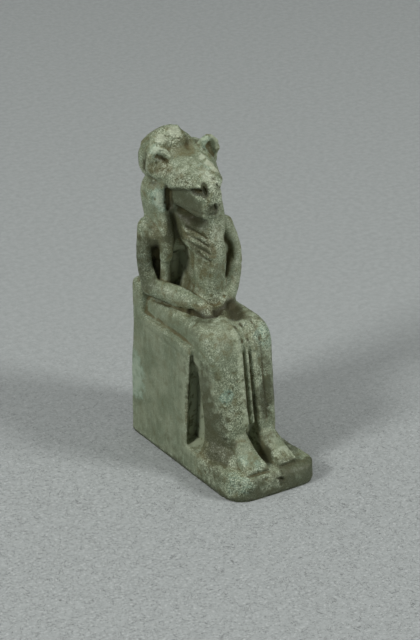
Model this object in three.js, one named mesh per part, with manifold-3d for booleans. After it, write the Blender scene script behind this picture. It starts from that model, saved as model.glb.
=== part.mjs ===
// A small moulded faience amulet: a lion-headed goddess in a long wig and dress, on a low-backed throne.
// Figure, throne and base are one piece. Millimetres, +Z up. The goddess faces -Y, so her right side is -X.
// The origin is the middle of the underside.
import * as THREE from "three";
import { mergeVertices } from "three/addons/utils/BufferGeometryUtils.js";
import Module from "manifold-3d";

// Driving dimensions
const WIDTH = 12;
const DEPTH = 24;
const HEIGHT = 41;
const BASE_HEIGHT = 3;
const BASE_LEAN = 0.045;
const BASE_FLARE = 0.7;
const THRONE_SKEW = 0.07;
const SEAT_HEIGHT = 17;
const BACKREST_HEIGHT = 21.6;
const HEM_HEIGHT = 7.4;
const LAP_HEIGHT = 19.5;
const SHOULDER_HEIGHT = 28.6;
const EAR_SPACING = 3.45;

// Edges of the block
const front = -DEPTH / 2;
const back = DEPTH / 2;
const throneFront = -1.1;
const backrestFront = 9.3;
const kneeFront = -4.9;
const hemFront = -6.9;
const wornEdge = 0.5;
const legRounding = 1.3;
const legOverlap = 0.85;

const faience = new THREE.MeshStandardMaterial({ color: 0x7f8872, roughness: 0.62, metalness: 0 });

const wasm = await Module();
wasm.setup();

// A closed geometry as a manifold-3d solid, turned inside out where its faces point inwards.
function solid(geometry) {
  const bare = geometry.clone();
  bare.deleteAttribute("normal");
  bare.deleteAttribute("uv");
  const merged = mergeVertices(bare, 1e-3);
  const corners = [];
  for (let i = 0; i < merged.index.count; i += 3) {
    const [a, b, c] = merged.index.array.slice(i, i + 3);
    if (a !== b && b !== c && c !== a) corners.push(a, b, c);
  }
  const build = (indices) =>
    new wasm.Manifold(
      new wasm.Mesh({
        numProp: 3,
        vertProperties: merged.attributes.position.array,
        triVerts: new Uint32Array(indices),
      }),
    );
  const made = build(corners);
  return made.volume() > 0 ? made : build(corners.toReversed());
}

const join = (...solids) => solids.reduce((whole, piece) => whole.add(piece));

// A closed skin over a row of rings that have equal point counts, its ends closed by fans.
function skin(rings) {
  const sides = rings[0].length;
  const points = rings.flat();
  const index = [];
  for (let r = 0; r + 1 < rings.length; r++) {
    for (let i = 0; i < sides; i++) {
      const a = r * sides + i;
      const b = r * sides + ((i + 1) % sides);
      index.push(a, b, b + sides, a, b + sides, a + sides);
    }
  }
  const closeEnd = (ring, offset, flipped) => {
    const centre = ring.reduce((sum, p) => sum.add(p), new THREE.Vector3()).divideScalar(sides);
    points.push(centre);
    for (let i = 0; i < sides; i++) {
      const a = offset + i;
      const b = offset + ((i + 1) % sides);
      index.push(points.length - 1, ...(flipped ? [b, a] : [a, b]));
    }
  };
  closeEnd(rings[0], 0, true);
  closeEnd(rings.at(-1), (rings.length - 1) * sides, false);
  const geometry = new THREE.BufferGeometry().setFromPoints(points);
  geometry.setIndex(index);
  return geometry;
}

// One point of a squared-off ellipse: 2 is an ellipse, and larger values come nearer to a rectangle.
function ovalPoint(angle, halfWidth, halfDepth, square) {
  const bend = (value) => Math.sign(value) * Math.abs(value) ** (2 / square);
  return [halfWidth * bend(Math.cos(angle)), halfDepth * bend(Math.sin(angle))];
}

// A smooth body through oval sections. Upright sections stand across Y, the others lie flat across Z.
// A section's half below its middle can have a depth of its own, "under".
function loft(stations, { rings = 12, sides = 20, upright = false } = {}) {
  const through = (read) =>
    new THREE.CatmullRomCurve3(
      stations.map((s) => new THREE.Vector3(...read(s))),
      false,
      "catmullrom",
      0.5,
    );
  const middles = through((s) => [s.x ?? 0, s.y, s.z]);
  const sizes = through((s) => [s.wide, s.deep, s.square ?? 2]);
  const unders = through((s) => [s.under ?? s.deep, 0, 0]);
  const made = [];
  for (let r = 0; r <= rings; r++) {
    const middle = middles.getPoint(r / rings);
    const size = sizes.getPoint(r / rings);
    const under = unders.getPoint(r / rings).x;
    const ring = [];
    for (let i = 0; i < sides; i++) {
      const angle = (2 * Math.PI * (i + 0.5)) / sides;
      const [u, v] = ovalPoint(angle, size.x, Math.sin(angle) < 0 ? under : size.y, size.z);
      ring.push(middle.clone().add(new THREE.Vector3(u, upright ? 0 : v, upright ? v : 0)));
    }
    made.push(ring);
  }
  return solid(skin(made));
}

// A round limb along a smooth line, with round ends. Each joint is [x, y, z, radius].
function limb(joints, { rings = 8, sides = 12 } = {}) {
  const line = new THREE.CatmullRomCurve3(joints.map(([x, y, z]) => new THREE.Vector3(x, y, z)));
  const thick = new THREE.CatmullRomCurve3(joints.map((j) => new THREE.Vector3(j[3], 0, 0)));
  const frames = line.computeFrenetFrames(rings);
  const made = [];
  const addRing = (r, radiusShare, ahead) => {
    const radius = thick.getPoint(r / rings).x;
    const middle = line.getPointAt(r / rings).addScaledVector(frames.tangents[r], ahead * radius);
    const ring = [];
    for (let i = 0; i < sides; i++) {
      const angle = (2 * Math.PI * i) / sides;
      const out = frames.normals[r].clone().multiplyScalar(Math.cos(angle));
      out.addScaledVector(frames.binormals[r], Math.sin(angle));
      ring.push(middle.clone().addScaledVector(out, radius * radiusShare));
    }
    made.push(ring);
  };
  const capAngles = [1.25, 0.8, 0.4];
  for (const a of capAngles) addRing(0, Math.cos(a), -Math.sin(a));
  for (let r = 0; r <= rings; r++) addRing(r, 1, 0);
  for (const a of capAngles.toReversed()) addRing(rings, Math.cos(a), Math.sin(a));
  return solid(skin(made));
}

// An outline through [across, up, radius] corners. Each is rounded with a curve, or sharp at radius 0.
function roundedOutline(corners) {
  const points = corners.flatMap(([x, y, radius], i) => {
    const corner = new THREE.Vector2(x, y);
    if (radius === 0) return [corner];
    const towards = ([otherX, otherY]) =>
      new THREE.Vector2(otherX, otherY).sub(corner).setLength(radius).add(corner);
    const start = towards(corners.at(i - 1));
    const end = towards(corners[(i + 1) % corners.length]);
    return new THREE.QuadraticBezierCurve(start, corner, end).getPoints(Math.ceil(radius * 1.6) + 2);
  });
  return new THREE.Shape(points);
}

// A side profile drawn as (y, z) corners and run across X between two planes, with rounded long edges.
function acrossWidth(corners, left, right, edge, bevelSegments) {
  const geometry = new THREE.ExtrudeGeometry(roundedOutline(corners), {
    depth: right - left - 2 * edge,
    bevelThickness: edge,
    bevelSize: edge,
    bevelOffset: -edge,
    bevelSegments,
  });
  const toWidth = new THREE.Matrix4().makeBasis(
    new THREE.Vector3(0, 1, 0),
    new THREE.Vector3(0, 0, 1),
    new THREE.Vector3(1, 0, 0),
  );
  return geometry.applyMatrix4(toWidth).translate(left + edge, 0, 0);
}

// Base and throne: a side profile run across the width, trimmed to the base's plan and the ground.
// The base's top drops towards her left, and the throne's front draws back on that side.
function block() {
  const half = WIDTH / 2;
  const spare = 1;
  const across = acrossWidth(
    [
      [front - spare, -spare, 0],
      [back + spare, -spare, 0],
      [back + spare, 4, 0],
      [back - 0.6, SEAT_HEIGHT - 3, 3],
      [back - 0.3, BACKREST_HEIGHT, 1.2],
      [backrestFront, BACKREST_HEIGHT + 0.1, 0.8],
      [backrestFront, SEAT_HEIGHT + 0.2, 0.6],
      [throneFront - 0.9, SEAT_HEIGHT - 0.1, 0.8],
      [throneFront, BASE_HEIGHT + 0.2, 0.3],
      [front, BASE_HEIGHT - 0.1, 1.2],
      [front, 1.2, 0],
    ],
    -half,
    half + BASE_FLARE,
    wornEdge,
    3,
  );
  const positions = across.attributes.position;
  const aboveBase = BASE_HEIGHT + 1;
  const leanStarts = BASE_HEIGHT * 0.4;
  const leanWhole = BASE_HEIGHT * 0.9;
  for (let i = 0; i < positions.count; i++) {
    if (positions.getY(i) > throneFront + wornEdge) continue;
    if (positions.getZ(i) > aboveBase) {
      positions.setY(i, positions.getY(i) + THRONE_SKEW * (positions.getX(i) + half));
      continue;
    }
    const share = THREE.MathUtils.clamp((positions.getZ(i) - leanStarts) / (leanWhole - leanStarts), 0, 1);
    positions.setZ(i, positions.getZ(i) - BASE_LEAN * share * positions.getX(i));
  }
  const plan = roundedOutline([
    [-half, front, 3.4],
    [half + BASE_FLARE, front, 3],
    [half, front + 6, 0],
    [half, back, 0.6],
    [-half, back, 0.6],
  ]);
  const upright = new THREE.ExtrudeGeometry(plan, { depth: HEIGHT, bevelEnabled: false });
  return solid(across).intersect(solid(upright));
}

// The deep undercut beside each shin, between the dress and the throne's front.
function shinRecess(side) {
  const half = WIDTH / 2;
  const floor = BASE_HEIGHT + 0.4;
  const lean = -0.066;
  const plan = new THREE.Shape([
    new THREE.Vector2(side * (half - 0.15), throneFront - 2),
    new THREE.Vector2(side * (half - 0.15), throneFront + 0.1),
    new THREE.Vector2(side * (half - 1), throneFront + 1.3),
    new THREE.Vector2(side * 3, throneFront + 1.8),
    new THREE.Vector2(side * 3, throneFront - 2),
  ]);
  const tall = SEAT_HEIGHT - 0.9 - floor;
  const geometry = new THREE.ExtrudeGeometry(plan, { depth: tall, bevelEnabled: false });
  geometry.applyMatrix4(new THREE.Matrix4().makeShear(0, 0, 0, 0, 0, lean));
  geometry.translate(0, 0, floor);
  return solid(geometry);
}

// One leg under the dress, seated: the thigh, the bent knee and the shin, which leans forward to the base.
// Towards the hem the outer side of the shin turns in, so that its front narrows above the foot.
function leg(side) {
  const outer = side < 0 ? 5.15 : 4.25;
  const turnIn = side < 0 ? 1.5 : 0.4;
  const rear = hemFront + 4.3;
  const buried = BASE_HEIGHT - 1.5;
  const geometry = acrossWidth(
    [
      [11, LAP_HEIGHT - 8, 2],
      [11, LAP_HEIGHT, 2.2],
      [kneeFront + 0.1, LAP_HEIGHT, 3],
      [hemFront, HEM_HEIGHT, 2],
      [hemFront, buried, 0],
      [rear, buried, 0],
      [rear, HEM_HEIGHT, 2],
      [kneeFront + 3.5, LAP_HEIGHT - 4.5, 2],
      [kneeFront + 5.5, LAP_HEIGHT - 8, 1.9],
    ],
    Math.min(-side * legOverlap, side * outer),
    Math.max(-side * legOverlap, side * outer),
    legRounding,
    3,
  );
  const positions = geometry.attributes.position;
  for (let i = 0; i < positions.count; i++) {
    const low = THREE.MathUtils.smoothstep(LAP_HEIGHT - positions.getZ(i), 2, LAP_HEIGHT - HEM_HEIGHT);
    const forward = THREE.MathUtils.clamp((rear - positions.getY(i)) / (rear - hemFront), 0, 1);
    const outwards = THREE.MathUtils.clamp((side * positions.getX(i)) / outer, 0, 1);
    positions.setX(i, positions.getX(i) - side * turnIn * low * forward * outwards);
  }
  return solid(geometry);
}

// One of the two narrow grooves down the front of the dress, which leave a fold standing between the legs.
function foldGroove(middle) {
  const half = 0.2;
  const top = LAP_HEIGHT - 2.2;
  const geometry = acrossWidth(
    [
      [kneeFront - 2, top + 0.5, 0],
      [kneeFront - 0.2, top, 0],
      [kneeFront + 0.6, top - 2.5, 0],
      [hemFront + 0.9, HEM_HEIGHT - 1, 0],
      [hemFront - 2, HEM_HEIGHT - 1, 0],
    ],
    middle - half,
    middle + half,
    half / 2,
    1,
  );
  return solid(geometry);
}

// The hollow between the ankles, under the middle of the dress.
function ankleHollow() {
  const halfWidth = 0.95;
  const rounding = 0.4;
  const top = HEM_HEIGHT - 0.2;
  const under = BASE_HEIGHT - 2;
  const geometry = acrossWidth(
    [
      [hemFront - 2, under, 0],
      [hemFront - 2, top, 2 * rounding],
      [hemFront + 2.6, top, 2 * rounding],
      [hemFront + 2.6, under, 0],
    ],
    -halfWidth,
    halfWidth,
    rounding,
    2,
  );
  return solid(geometry);
}

// The low ground between and behind the shins: a web to the throne and the lap's middle.
function web() {
  const shins = acrossWidth(
    [
      [1, BASE_HEIGHT, 0.3],
      [1, LAP_HEIGHT - 1.2, 0.3],
      [kneeFront + 0.5, LAP_HEIGHT - 1.6, 0.9],
      [hemFront + 0.75, HEM_HEIGHT + 0.5, 0.4],
      [hemFront + 3.2, BASE_HEIGHT, 0.3],
    ],
    -3.4,
    3.4,
    0.2,
    1,
  );
  const lap = acrossWidth(
    [
      [8, LAP_HEIGHT - 3, 0.3],
      [8, LAP_HEIGHT - 0.2, 0.3],
      [kneeFront + 0.6, LAP_HEIGHT - 0.3, 2.6],
      [kneeFront + 0.6, LAP_HEIGHT - 3.6, 0.3],
    ],
    -2,
    2,
    0.2,
    1,
  );
  return join(solid(shins), solid(lap));
}

// A bare foot, which comes out from under the hem and slopes down to square toes.
function foot(side) {
  const toes = side < 0 ? 1.9 : 2.5;
  const ankle = side < 0 ? 1.75 : 2.3;
  const spread = side < 0 ? 1.62 : 1.4;
  return loft(
    [
      { x: side * ankle, y: -3.5, z: 3.6, wide: 1.2, deep: 1.8, square: 2.3 },
      { x: side * ankle, y: -6.2, z: 3.7, wide: 1.3, deep: 3.1, square: 2.5 },
      { x: side * (ankle + toes) * 0.5, y: -8.4, z: 3.2, wide: (spread + 1.3) / 2, deep: 1.75, square: 3.2 },
      { x: side * toes, y: -10.1, z: 3.0, wide: spread, deep: 0.95, square: 3.8 },
      { x: side * toes, y: -10.9, z: 2.9, wide: spread - 0.1, deep: 0.6, square: 3.8 },
    ],
    { rings: 10, sides: 18, upright: true },
  );
}

// The slope of faience left standing against the outer side of her right foot.
function hemMound() {
  return loft(
    [
      { x: -4.1, y: -2.5, z: 2.7, wide: 1.2, deep: 1.4, under: 1 },
      { x: -3.5, y: -4.5, z: 2.7, wide: 2.1, deep: 2.7, under: 1 },
      { x: -2.9, y: -6.6, z: 2.7, wide: 2.0, deep: 2.3, under: 1 },
      { x: -2.6, y: -9.4, z: 2.7, wide: 1.2, deep: 0.6, under: 0.5 },
    ],
    { rings: 8, sides: 14, upright: true },
  );
}

// The slender body stands forward of a flat back that closes the gaps beside the arms.
function torso() {
  const body = loft(
    [
      { x: 0.6, y: 4.8, z: 17, wide: 3.2, deep: 5.5, under: 2.8, square: 2.8 },
      { x: 0.6, y: 4.7, z: 19.5, wide: 2.6, deep: 5.5, under: 2.3, square: 2.8 },
      { x: 0.9, y: 4.7, z: 22, wide: 1.9, deep: 5.5, under: 2.0, square: 2.8 },
      { x: 1.1, y: 5.0, z: 25.5, wide: 1.95, deep: 5, under: 2.3, square: 2.8 },
      { x: 0.4, y: 5.8, z: 28, wide: 2.6, deep: 4, under: 2.3, square: 2.6 },
      { y: 7.0, z: 31, wide: 2.4, deep: 2.5, square: 2.4 },
    ],
    { rings: 11, sides: 20 },
  );
  const shoulders = loft(
    [
      { y: 9.0, z: SHOULDER_HEIGHT - 3.2, wide: 4.6, deep: 1.2, square: 2.6 },
      { y: 8.6, z: SHOULDER_HEIGHT - 1.4, wide: 5.4, deep: 1.9, square: 2.6 },
      { y: 8.6, z: SHOULDER_HEIGHT + 0.2, wide: 5.3, deep: 2.2, square: 2.5 },
      { y: 8.9, z: SHOULDER_HEIGHT + 1.6, wide: 4.6, deep: 2.0, square: 2.2 },
    ],
    { rings: 7, sides: 20 },
  );
  const flatBack = loft(
    [
      { y: backrestFront + 1, z: SEAT_HEIGHT - 0.6, wide: 4.75, deep: 0.8, square: 5 },
      { y: backrestFront + 1, z: SHOULDER_HEIGHT - 3, wide: 4.7, deep: 0.8, square: 5 },
      { y: backrestFront + 0.85, z: SHOULDER_HEIGHT + 0.3, wide: 4.3, deep: 0.7, square: 4 },
    ],
    { rings: 4, sides: 20 },
  );
  return join(body, shoulders, flatBack);
}

// The flat pillar up her back, from the backrest to the wig.
function backPillar() {
  const width = 4;
  const depth = 2.6;
  const foot = BACKREST_HEIGHT - 1.6;
  const tall = SHOULDER_HEIGHT + 8.4 - foot;
  const pillar = new THREE.BoxGeometry(width, depth, tall);
  pillar.translate(0, back - 0.4 - depth / 2, foot + tall / 2);
  return solid(pillar);
}

// Her arms hang to bent elbows and the hands lie in her lap. The left arm is held further forward.
function arm(side) {
  const shoulderRight = [5.0, 9.2, SHOULDER_HEIGHT + 0.3, 1.25];
  const shoulderLeft = [4.7, 7.0, SHOULDER_HEIGHT - 1, 1.25];
  const shoulder = side < 0 ? shoulderRight : shoulderLeft;
  const middle = side < 0 ? [5.35, 9.2, 24.8, 1.05] : [5.7, 6.0, 25.2, 0.68];
  const elbow = side < 0 ? [5.3, 8.2, 21.2, 1.1] : [5.35, 5.5, 22.9, 0.95];
  const hand = side < 0 ? [1.3, 1.8, 19.5] : [2.3, 2.6, 19.6];
  const place = ([x, y, z, radius]) => [side * x, y, z, radius];
  const upper = limb([shoulder, middle, elbow].map(place), { rings: 6, sides: 12 });
  const midway = [
    (elbow[0] + hand[0]) * 0.53,
    (elbow[1] + hand[1]) / 2,
    (elbow[2] + hand[2]) / 2 + 0.5,
    side < 0 ? 1.3 : 1.05,
  ];
  const fore = limb([elbow, midway, [...hand, 0.95]].map(place), { rings: 6, sides: 12 });
  const fist = new THREE.SphereGeometry(1, 14, 8);
  fist.scale(1.15, 1.0, 0.9);
  fist.translate(side * hand[0], hand[1] - 0.1, hand[2]);
  return join(upper, fore, solid(fist));
}

// The two tails of the wig that fall over the front of the shoulders.
function lappet(side) {
  const [x, y] = side < 0 ? [3.65, 7.0] : [2.8, 5.6];
  return loft(
    [
      { x: side * x, y: y + 0.2, z: 24.7, wide: 0.65, deep: 0.7, square: 3 },
      { x: side * (x - 0.05), y, z: 27, wide: 0.8, deep: 1.0, square: 3 },
      { x: side * (x + 0.1), y: y + 0.6, z: 30, wide: 0.95, deep: 1.4, square: 3 },
      { x: side * (x + 0.1), y: y + 1.8, z: 32.5, wide: 0.9, deep: 1.5, square: 3 },
    ],
    { rings: 7, sides: 12 },
  );
}

// Her right side, which shows as a strip between the dark hollows beside the arm.
function flank() {
  return loft(
    [
      { x: -3.3, y: 8.6, z: SEAT_HEIGHT, wide: 0.75, deep: 1.4, square: 2.8 },
      { x: -3.3, y: 8.4, z: 22, wide: 0.7, deep: 1.3, square: 2.8 },
      { x: -3.5, y: 8.4, z: 28, wide: 0.8, deep: 1.4, square: 2.8 },
    ],
    { rings: 5, sides: 12 },
  );
}

// The faience left uncut behind her left arm, which closes the slit between arm and body.
function armWeb() {
  const sheet = loft(
    [
      { x: 3.3, y: 8.8, z: SEAT_HEIGHT + 1, wide: 2.3, deep: 1.6, square: 4.5 },
      { x: 3.4, y: 8.7, z: 23, wide: 2.4, deep: 1.8, square: 4.5 },
      { x: 3.2, y: 8.8, z: 28, wide: 2.1, deep: 1.7, square: 4.5 },
    ],
    { rings: 5, sides: 14 },
  );
  const behindArm = limb([
    [4.4, 8.3, 28, 1.2],
    [4.75, 7.5, 25.2, 1.25],
    [4.7, 7.2, 22.3, 1.2],
    [4.5, 7.6, 19.4, 1.2],
  ]);
  return join(sheet, behindArm);
}

// The wig and mane, one mass from the shoulders to the crown, which stands forward beside the cheeks.
function mane() {
  return loft(
    [
      { x: -0.2, y: 9.0, z: 28.6, wide: 4.7, deep: 2.3, square: 2.6 },
      { x: -0.25, y: 9.2, z: 30.6, wide: 4.8, deep: 2.4, square: 3 },
      { x: -0.25, y: 9.3, z: 32.4, wide: 5.1, deep: 2.5, square: 3.2 },
      { x: -0.25, y: 9.4, z: 34.0, wide: 4.9, deep: 2.4, square: 3.2 },
      { x: -0.2, y: 9.6, z: 35.1, wide: 4.3, deep: 2.1, under: 1.9, square: 3 },
      { x: -0.1, y: 9.6, z: 36.6, wide: 4.5, deep: 2.0, square: 2.8 },
      { x: -0.3, y: 9.8, z: 38.0, wide: 4.3, deep: 1.9, square: 2.4 },
      { x: -0.5, y: 9.9, z: 38.4, wide: 3.2, deep: 1.5, square: 2.4 },
    ],
    { rings: 16, sides: 22 },
  );
}

// The lion's face: flat cheeks that narrow to a deep square muzzle, under a broad sloping brow.
function face() {
  const cheeks = loft(
    [
      { y: 1.75, z: 33.2, wide: 0.8, deep: 1.5, under: 1.2, square: 2.6 },
      { y: 2.0, z: 33.2, wide: 1.2, deep: 2.0, under: 1.8, square: 3 },
      { y: 2.7, z: 33.2, wide: 1.55, deep: 2.35, under: 2.2, square: 3.6 },
      { y: 4, z: 33.2, wide: 2.05, deep: 2.4, under: 2.0, square: 4 },
      { y: 6, z: 33.3, wide: 2.8, deep: 2.3, under: 1.5, square: 4 },
      { y: 8, z: 33.4, wide: 3.4, deep: 2.3, under: 1.3, square: 4 },
      { y: 9, z: 33.4, wide: 3.4, deep: 2.3, under: 1.3, square: 4 },
    ],
    { rings: 10, sides: 24, upright: true },
  );
  const brow = loft(
    [
      { y: 2.0, z: 35.2, wide: 0.9, deep: 0.3, under: 0.3, square: 2.5 },
      { y: 2.7, z: 35.3, wide: 1.6, deep: 0.8, under: 0.35, square: 2.6 },
      { y: 4, z: 35.1, wide: 2.4, deep: 1.7, under: 0.4, square: 2.7 },
      { y: 6, z: 34.6, wide: 3.3, deep: 2.9, under: 0.4, square: 2.8 },
      { y: 8, z: 34.1, wide: 4.0, deep: 4.0, under: 0.4, square: 2.8 },
      { y: 9.5, z: 33.8, wide: 4.1, deep: 4.4, under: 0.4, square: 2.8 },
    ],
    { rings: 10, sides: 22, upright: true },
  );
  return join(cheeks, brow);
}

// A round upright ear with a hollow front.
function ear(side) {
  const radius = 1.65;
  const profile = [
    [0, -0.9],
    [radius * 0.7, -0.75],
    [radius * 0.98, -0.2],
    [radius, 0.25],
    [radius * 0.9, 0.48],
    [radius * 0.72, 0.35],
    [radius * 0.4, 0],
    [0, -0.12],
  ].map(([r, h]) => new THREE.Vector2(r, h));
  const geometry = new THREE.LatheGeometry(profile, 18);
  geometry.rotateX(Math.PI);
  geometry.scale(1, 1, 1.25);
  geometry.rotateX(-0.15);
  geometry.rotateZ(side * 0.25);
  geometry.translate(side * EAR_SPACING - 0.25, 8.4, 37.1);
  return solid(geometry);
}

// The worn stump on the crown behind the ears, broken away on her left.
function crest() {
  return loft(
    [
      { x: -0.7, y: 10.0, z: 34.8, wide: 3.5, deep: 1.4, square: 2.8 },
      { x: -1.2, y: 10.1, z: 35.8, wide: 3.8, deep: 1.6, square: 4.5 },
      { x: -1.3, y: 10.2, z: 37.6, wide: 3.8, deep: 1.6, square: 4.5 },
      { x: -1.5, y: 10.2, z: 39.2, wide: 3.1, deep: 1.6, square: 3.5 },
      { x: -1.6, y: 10.3, z: HEIGHT - 0.7, wide: 2.2, deep: 1.3, square: 2.5 },
      { x: -1.2, y: 10.4, z: HEIGHT, wide: 1.5, deep: 0.7, square: 2.2 },
    ],
    { rings: 8, sides: 18 },
  );
}

function amulet() {
  const throne = block().subtract(shinRecess(-1)).subtract(shinRecess(1));
  const legs = [foldGroove(-0.35), foldGroove(0.5), ankleHollow()].reduce(
    (whole, hollow) => whole.subtract(hollow),
    join(leg(-1), leg(1)),
  );
  const pairs = [-1, 1].flatMap((side) => [foot(side), arm(side), lappet(side), ear(side)]);
  const body = join(torso(), flank(), armWeb(), backPillar());
  const head = join(mane(), face(), crest());
  return join(throne, legs, web(), hemMound(), body, head, ...pairs);
}

function geometryOf(made) {
  const { vertProperties, triVerts } = made.getMesh();
  const geometry = new THREE.BufferGeometry();
  geometry.setAttribute("position", new THREE.BufferAttribute(vertProperties, 3));
  geometry.setIndex(new THREE.BufferAttribute(triVerts, 1));
  geometry.computeVertexNormals();
  return geometry;
}

const goddess = new THREE.Mesh(geometryOf(amulet()), faience);
goddess.name = "lion_goddess_amulet";

const amuletGroup = new THREE.Group();
amuletGroup.add(goddess);

export default amuletGroup;
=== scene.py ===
# A worn green-grey faience amulet of a seated lion-headed goddess, on a plain pale floor.
# The CAD node is copied, remeshed into an even skin and sculpted, and that skin stands in for it.
# Places and sizes on the figure are millimetres in the frame's axes: she faces -Y, her right side is -X,
# and the underside lies at Z 0. Lights and floor are in metres.
import math
from collections import namedtuple

import bpy
import numpy as np
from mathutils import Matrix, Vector
from mathutils.bvhtree import BVHTree


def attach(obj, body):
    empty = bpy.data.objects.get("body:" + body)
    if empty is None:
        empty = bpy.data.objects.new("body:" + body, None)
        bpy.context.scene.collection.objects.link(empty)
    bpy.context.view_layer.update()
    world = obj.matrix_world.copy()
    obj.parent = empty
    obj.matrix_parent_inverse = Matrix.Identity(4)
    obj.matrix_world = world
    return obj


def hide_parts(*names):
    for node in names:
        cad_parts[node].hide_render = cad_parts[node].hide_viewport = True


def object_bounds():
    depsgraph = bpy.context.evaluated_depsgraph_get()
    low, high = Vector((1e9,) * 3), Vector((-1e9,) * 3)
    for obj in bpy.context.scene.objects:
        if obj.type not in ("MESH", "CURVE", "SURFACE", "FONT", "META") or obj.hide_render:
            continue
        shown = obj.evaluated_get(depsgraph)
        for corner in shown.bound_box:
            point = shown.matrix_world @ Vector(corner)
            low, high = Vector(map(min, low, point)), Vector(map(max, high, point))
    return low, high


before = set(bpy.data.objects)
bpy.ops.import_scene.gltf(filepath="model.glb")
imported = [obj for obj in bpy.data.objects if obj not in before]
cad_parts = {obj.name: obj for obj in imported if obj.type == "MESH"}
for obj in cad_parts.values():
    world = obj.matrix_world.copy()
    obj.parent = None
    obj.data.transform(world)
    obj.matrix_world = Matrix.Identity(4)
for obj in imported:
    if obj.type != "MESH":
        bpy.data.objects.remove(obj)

MM = 0.001
NODE = "lion_goddess_amulet"
cad_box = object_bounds()


# Camera, solved on the corners of the base in the 420 by 640 photograph, with angles in degrees

FOCAL_LENGTH_IN_PIXELS = 2700
PICTURE_HEIGHT = 640
SENSOR = 36
CAMERA_PLACE = (-161.28, -247.64, 162.03)
CAMERA_LOOKS_DOWN = 25.885
CAMERA_TURNS_RIGHT = 32.777


def add_camera():
    """The photograph's camera."""
    data = bpy.data.cameras.new("camera")
    data.sensor_width = SENSOR
    data.lens = FOCAL_LENGTH_IN_PIXELS * SENSOR / PICTURE_HEIGHT
    data.clip_start = 0.01
    camera = bpy.data.objects.new("camera", data)
    camera.location = Vector(CAMERA_PLACE) * MM
    camera.rotation_euler = (math.radians(90 - CAMERA_LOOKS_DOWN), 0, math.radians(-CAMERA_TURNS_RIGHT))
    bpy.context.collection.objects.link(camera)
    bpy.context.scene.camera = camera


# Random fields

SEED_STEP = 9781
SEED_STEP_PER_LAYER = 31
CELL_SHIFT = 4096
FIRST_FACTOR = 0x2C1B3C6D
SECOND_FACTOR = 0x297A2D39
MASK = 0xFFFFFFFF
POSITIVE_MASK = 0x7FFFFFFF
HALF_RANGE = 0x3FFFFFFF


def cell_hash(cells, seed):
    """A repeatable number for each cell, from 0 to about twice HALF_RANGE."""
    h = seed * SEED_STEP
    for cell in cells:
        h = ((h ^ (cell + CELL_SHIFT)) * FIRST_FACTOR) & MASK
        h = ((h ^ (h >> 12)) * SECOND_FACTOR) & MASK
        h = (h ^ (h >> 15)) & POSITIVE_MASK
    return h


def lattice_noise(points, size, seed):
    """A smooth random field with cells of one size, from -1 to 1."""
    q = points / size
    base = np.floor(q).astype(np.int64)
    t = q - base
    w = t * t * (3 - 2 * t)
    total = np.zeros(len(points))
    for corner in np.ndindex(2, 2, 2):
        share = np.prod(np.where(corner, w, 1 - w), axis=1)
        total += share * (cell_hash((base + corner).T, seed) / HALF_RANGE - 1)
    return total


def cloud(points, size, seed, octaves=3):
    """Several layers of the field, each with cells and height half those of the one before."""
    layers = [
        lattice_noise(points, size / 2 ** k, seed + SEED_STEP_PER_LAYER * k) / 2 ** k
        for k in range(octaves)
    ]
    return sum(layers) / sum(0.5 ** k for k in range(octaves))


def step(start, end, value):
    """0 up to the start, 1 from the end on, and smooth between. The end may lie below the start."""
    t = np.clip((value - start) / (end - start), 0, 1)
    return t * t * (3 - 2 * t)


# The skin that is sculpted: the size of its cells, and its triangles once it is thinned

VOXEL = 0.13
MOST_TRIANGLES = 192000


class Skin:
    """The vertices of a mesh in millimetres, with the neighbours that smoothing needs."""

    def __init__(self, mesh):
        self.mesh = mesh
        self.points = np.empty(3 * len(mesh.vertices))
        mesh.vertices.foreach_get("co", self.points)
        self.points = self.points.reshape(-1, 3) / MM
        self.edges = np.empty(2 * len(mesh.edges), dtype=np.int32)
        mesh.edges.foreach_get("vertices", self.edges)
        self.edges = self.edges.reshape(-1, 2)
        self.degree = np.bincount(self.edges.ravel(), minlength=len(self.points))[:, None]

    def average(self, values):
        """The mean of each vertex's neighbours."""
        a, b = self.edges.T
        count = len(values)
        columns = []
        for column in values.T:
            from_b = np.bincount(a, weights=column[b], minlength=count)
            from_a = np.bincount(b, weights=column[a], minlength=count)
            columns.append(from_b + from_a)
        return np.stack(columns, axis=1) / self.degree

    def smoothed(self, values, rounds):
        """The columns of values, each blended with its neighbours' mean round by round."""
        for _ in range(rounds):
            values = (values + self.average(values)) / 2
        return values

    def normals(self):
        self.store()
        out = np.empty(3 * len(self.points))
        self.mesh.vertex_normals.foreach_get("vector", out)
        return out.reshape(-1, 3)

    def store(self):
        """Writes the points back to the mesh."""
        self.mesh.vertices.foreach_set("co", (self.points * MM).ravel())
        self.mesh.update()

    def push(self, amount):
        """Moves the surface out along its normals, or in where the amount is negative."""
        self.points += self.normals() * np.asarray(amount)[:, None]

    def distance_to(self, path, y_scale=1.0):
        """How far each vertex is from a line through the points of a path, with Y distances scaled."""
        scale = np.array((1.0, y_scale, 1.0))
        points = self.points * scale
        best = np.full(len(points), np.inf)
        for start, end in zip(path, path[1:]):
            a = np.array(start) * scale
            ab = np.subtract(end, start) * scale
            t = np.clip((points - a) @ ab / (ab @ ab), 0, 1)
            best = np.minimum(best, np.linalg.norm(points - a - t[:, None] * ab, axis=1))
        return best


def remeshed(node):
    """A copy of the CAD node's mesh with an even skin of small quads."""
    rough = bpy.data.objects.new("rough", node.data.copy())
    bpy.context.collection.objects.link(rough)
    rough.data.transform(node.matrix_world)
    remesh = rough.modifiers.new("remesh", "REMESH")
    remesh.mode = "VOXEL"
    remesh.voxel_size = VOXEL * MM
    remesh.use_smooth_shade = True
    graph = bpy.context.evaluated_depsgraph_get()
    graph.update()
    mesh = bpy.data.meshes.new_from_object(rough.evaluated_get(graph))
    bpy.data.objects.remove(rough)
    mesh.materials.clear()
    return mesh


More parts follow.
